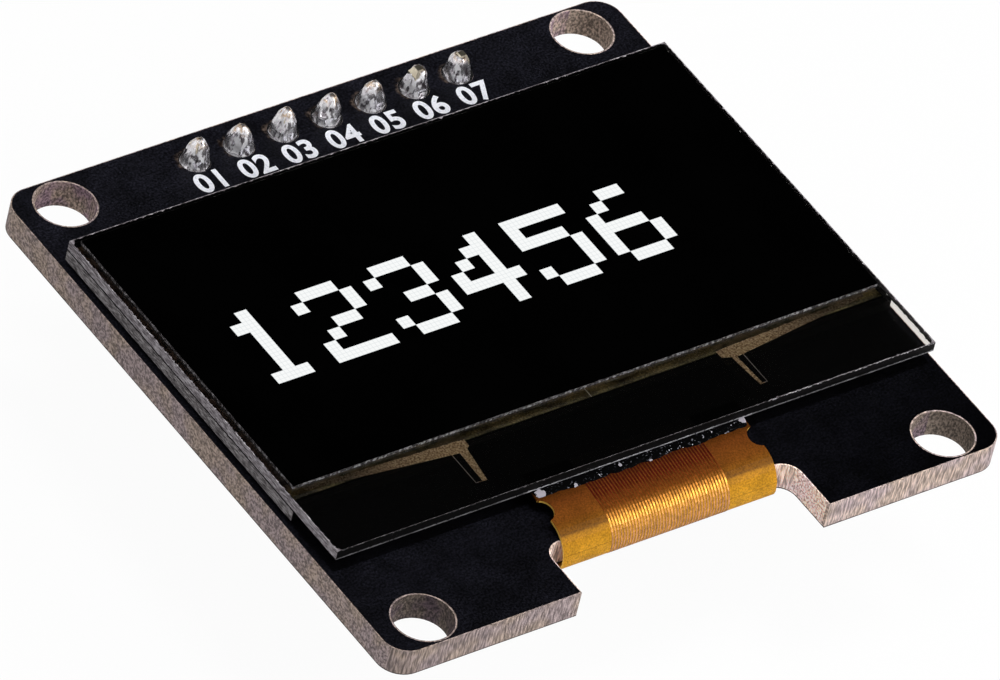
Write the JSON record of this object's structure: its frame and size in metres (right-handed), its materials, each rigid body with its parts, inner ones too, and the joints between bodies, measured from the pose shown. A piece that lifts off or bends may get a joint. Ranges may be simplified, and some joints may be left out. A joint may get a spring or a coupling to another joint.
{
  "type": "small display module",
  "caption": "Small square display module: a glass panel taped to a notched circuit board, with a flex cable folded through the notch, a pin header and mounting holes.",
  "frame": {"origin": "centre of the four mounting holes, on the laminate's rear face", "axes": "+X along the pin row, +Y towards the pin row, +Z out of the display"},
  "size_m": [0.0352, 0.0334, 0.0115],
  "materials": {
    "laminate": "cut glass-fibre laminate",
    "solder_mask": "black lacquer, satin",
    "copper": "thin bright copper",
    "panel_glass": "polished faces, ground edges",
    "black_resin": "cured resin, glossy",
    "emitter": "dark film",
    "polariser_film": "black film, glossy",
    "tape": "matte adhesive tape",
    "fanout_metal": "thin metal film",
    "silicon": "ground silicon",
    "polyimide": "amber film, glossy",
    "solder": "bright solder",
    "black_plastic": "moulded black plastic",
    "ceramic": "fired ceramic",
    "tinned_lead": "tinned metal"
  },
  "bodies": {
    "root": {"circuit_board": "laminate", "front_solder_mask": "solder_mask", "rear_solder_mask": "solder_mask", "plated_holes": "copper", "rear_pads": "copper", "front_glass": "panel_glass", "rear_glass": "panel_glass", "seal_ring": "black_resin", "emitter_layer": "emitter", "polariser": "polariser_film", "foam_tape": "tape", "fanout_film": "fanout_metal", "driver_chip": "silicon", "chip_resin": "black_resin", "joint_resin": "black_resin", "flex_cable": "polyimide", "flex_traces": "copper", "flex_bond": "black_resin", "flex_solder": "solder", "header_strip": "black_plastic", "capacitor_bodies": "ceramic", "capacitor_ends": "solder", "resistor_bodies": "black_plastic", "resistor_ends": "solder", "chip_part_solder": "solder", "regulator_body": "black_plastic", "regulator_leads": "tinned_lead", "diode_body": "black_plastic", "diode_leads": "tinned_lead", "header_pin_1": "tinned_lead", "header_pin_2": "tinned_lead", "header_pin_3": "tinned_lead", "header_pin_4": "tinned_lead", "header_pin_5": "tinned_lead", "header_pin_6": "tinned_lead", "header_pin_7": "tinned_lead", "solder_joint_1": "solder", "solder_joint_2": "solder", "solder_joint_3": "solder", "solder_joint_4": "solder", "solder_joint_5": "solder", "solder_joint_6": "solder", "solder_joint_7": "solder"}
  },
  "joints": []
}
